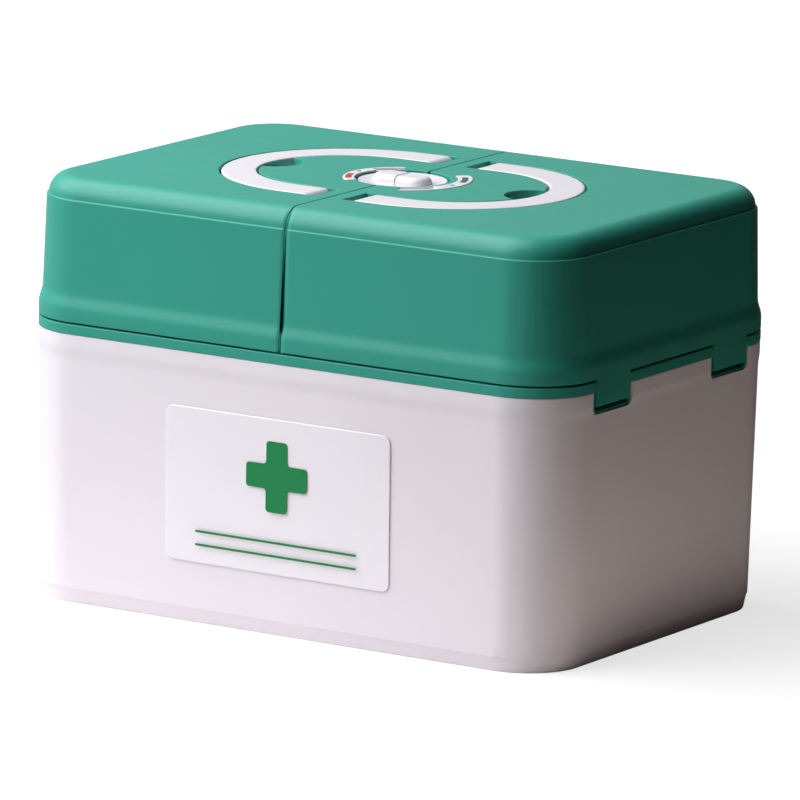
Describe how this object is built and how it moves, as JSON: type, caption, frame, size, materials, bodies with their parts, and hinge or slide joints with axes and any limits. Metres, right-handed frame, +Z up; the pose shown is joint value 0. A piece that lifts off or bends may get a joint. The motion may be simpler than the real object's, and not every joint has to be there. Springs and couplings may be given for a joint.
{
  "type": "medicine box",
  "caption": "Household medicine box: deep rounded bin, rim frame, lids hinged at both ends, folding bail handles, turning lock and lift-out tray.",
  "frame": {"origin": "middle of the underside that the box stands on", "axes": "+X to the right along the width, +Y to the back, +Z up; the label faces -Y and the lids hinge at the two X ends"},
  "size_m": [0.33, 0.2314, 0.2251],
  "materials": {
    "white_shell": "satin off-white polypropylene",
    "green_shell": "satin sea-green polypropylene",
    "white_trim": "satin white ABS",
    "label": "gloss white plate with a plain green sign",
    "tray_white": "matt white polypropylene",
    "divider": "matt pale green polypropylene",
    "nylon": "grey nylon",
    "steel": "bright steel",
    "mark_red": "red inlay",
    "mark_green": "dark green inlay"
  },
  "bodies": {
    "bin": {"base_bin": "white_shell", "label_plate": "label", "rim_frame": "green_shell", "hinge_pins_left": "steel", "hinge_pins_right": "steel"},
    "tray": {"upper_tray": "tray_white", "tray_carrier": "tray_white", "tray_divider_left": "divider", "tray_divider_right": "divider"},
    "left_lid": {"lid_left": "green_shell", "scale_left": "white_trim", "mark_red": "mark_red", "handle_pins_left": "steel"},
    "right_lid": {"lid_right": "green_shell", "scale_right": "white_trim", "mark_green": "mark_green", "handle_pins_right": "steel", "lock_catch": "nylon", "catch_screws": "steel"},
    "left_handle": {"handle_left": "white_trim"},
    "right_handle": {"handle_right": "white_trim"},
    "lock": {"lock_knob": "white_trim", "lock_hook": "nylon", "lock_washer": "steel", "lock_screw": "steel"}
  },
  "joints": [
    {"name": "left_lid_hinge", "type": "hinge", "parent": "bin", "child": "left_lid", "pos_m": [-0.161, 0, 0.1385], "axis": [0, -1, 0], "range_deg": [0, 110]},
    {"name": "right_lid_hinge", "type": "hinge", "parent": "bin", "child": "right_lid", "pos_m": [0.161, 0, 0.1385], "axis": [0, 1, 0], "range_deg": [0, 110]},
    {"name": "left_handle_hinge", "type": "hinge", "parent": "left_lid", "child": "left_handle", "pos_m": [-0.0164, 0, 0.2188], "axis": [0, 1, 0], "range_deg": [0, 90]},
    {"name": "right_handle_hinge", "type": "hinge", "parent": "right_lid", "child": "right_handle", "pos_m": [0.0164, 0, 0.2188], "axis": [0, -1, 0], "range_deg": [0, 90]},
    {"name": "lock_turn", "type": "hinge", "parent": "left_lid", "child": "lock", "pos_m": [0, 0, 0.2228], "axis": [0, 0, -1], "range_deg": [0, 90]},
    {"name": "tray_lift", "type": "slide", "parent": "bin", "child": "tray", "axis": [0, 0, 1], "range_m": [0, 0.03]}
  ]
}
